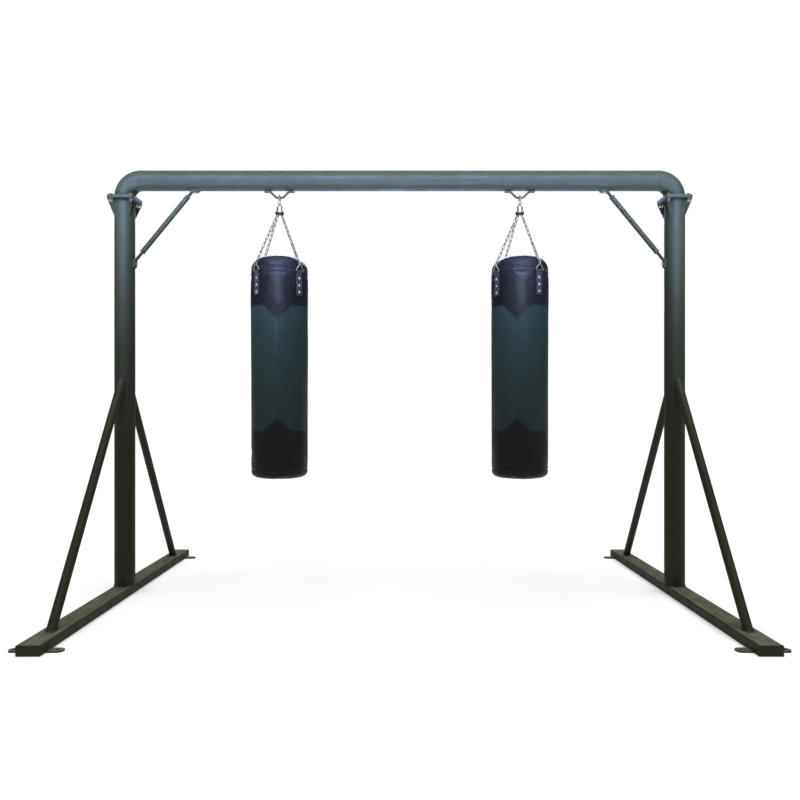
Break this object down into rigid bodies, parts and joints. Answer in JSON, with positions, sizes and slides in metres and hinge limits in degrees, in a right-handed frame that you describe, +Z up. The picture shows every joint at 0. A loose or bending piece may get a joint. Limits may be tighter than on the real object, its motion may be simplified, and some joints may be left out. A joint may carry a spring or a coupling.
{
  "type": "punching bag on stand",
  "caption": "Free-standing steel rack of two posts and a crossbeam with twin cylindrical heavy bags, each hung from a swivel on chains, so that the bags swing and spin.",
  "frame": {"origin": "on the floor, below the middle of the crossbeam", "axes": "+X along the crossbeam to the right post, +Y to the rear along the base tubes, +Z up"},
  "size_m": [3.2298, 2, 2.304],
  "materials": {
    "frame_paint": "satin",
    "zinc_steel": "satin",
    "chrome_steel": "polished",
    "bearing_steel": "polished",
    "black_steel": "satin",
    "chain_steel": "polished",
    "strap_webbing": "matte",
    "rivet_nickel": "polished",
    "bag_leather": "satin",
    "bag_fill": "matte"
  },
  "bodies": {
    "frame": {"left_base_tube": "frame_paint", "right_base_tube": "frame_paint", "left_base_end_plates": "frame_paint", "right_base_end_plates": "frame_paint", "left_anchor_ears": "frame_paint", "right_anchor_ears": "frame_paint", "left_post": "frame_paint", "right_post": "frame_paint", "left_front_strut": "frame_paint", "right_front_strut": "frame_paint", "left_rear_strut": "frame_paint", "right_rear_strut": "frame_paint", "left_post_flange": "frame_paint", "right_post_flange": "frame_paint", "left_beam_flange": "frame_paint", "right_beam_flange": "frame_paint", "left_flange_gussets": "frame_paint", "right_flange_gussets": "frame_paint", "left_beam_elbow": "frame_paint", "right_beam_elbow": "frame_paint", "left_brace_tube": "frame_paint", "right_brace_tube": "frame_paint", "left_brace_tabs": "frame_paint", "right_brace_tabs": "frame_paint", "left_hanger_bracket": "frame_paint", "right_hanger_bracket": "frame_paint", "crossbeam": "frame_paint", "brace_end_discs": "frame_paint", "brace_pads": "frame_paint", "brace_bolts": "zinc_steel", "brace_washers": "zinc_steel", "brace_weld_nuts": "zinc_steel", "flange_bolts": "zinc_steel", "flange_nuts": "zinc_steel", "flange_washers": "zinc_steel"},
    "left_shackle": {"left_shackle_bow": "zinc_steel", "left_shackle_pin": "zinc_steel"},
    "left_swivel_head": {"left_swivel_stud": "chrome_steel"},
    "left_bag": {"left_swivel_bearing": "bearing_steel", "left_swivel_housing": "chrome_steel", "left_chain_plate": "black_steel", "left_chains": "chain_steel", "left_bag_rings": "chain_steel", "left_bag_straps": "strap_webbing", "left_bag_rivets": "rivet_nickel", "left_bag_cover": "bag_leather", "left_bag_filling": "bag_fill"},
    "right_shackle": {"right_shackle_bow": "zinc_steel", "right_shackle_pin": "zinc_steel"},
    "right_swivel_head": {"right_swivel_stud": "chrome_steel"},
    "right_bag": {"right_swivel_bearing": "bearing_steel", "right_swivel_housing": "chrome_steel", "right_chain_plate": "black_steel", "right_chains": "chain_steel", "right_bag_rings": "chain_steel", "right_bag_straps": "strap_webbing", "right_bag_rivets": "rivet_nickel", "right_bag_cover": "bag_leather", "right_bag_filling": "bag_fill"}
  },
  "joints": [
    {"name": "left_shackle_swing", "type": "hinge", "parent": "frame", "child": "left_shackle", "pos_m": [-0.655, 0, 2.158], "axis": [1, 0, 0], "range_deg": [-45, 45]},
    {"name": "left_side_sway", "type": "hinge", "parent": "left_shackle", "child": "left_swivel_head", "pos_m": [-0.655, 0, 2.124], "axis": [0, 1, 0], "range_deg": [-18, 18]},
    {"name": "left_swivel_spin", "type": "hinge", "parent": "left_swivel_head", "child": "left_bag", "pos_m": [-0.655, 0, 2.0975], "axis": [0, 0, 1], "continuous": true},
    {"name": "right_shackle_swing", "type": "hinge", "parent": "frame", "child": "right_shackle", "pos_m": [0.655, 0, 2.158], "axis": [1, 0, 0], "range_deg": [-45, 45]},
    {"name": "right_side_sway", "type": "hinge", "parent": "right_shackle", "child": "right_swivel_head", "pos_m": [0.655, 0, 2.124], "axis": [0, 1, 0], "range_deg": [-18, 18]},
    {"name": "right_swivel_spin", "type": "hinge", "parent": "right_swivel_head", "child": "right_bag", "pos_m": [0.655, 0, 2.0975], "axis": [0, 0, 1], "continuous": true}
  ]
}
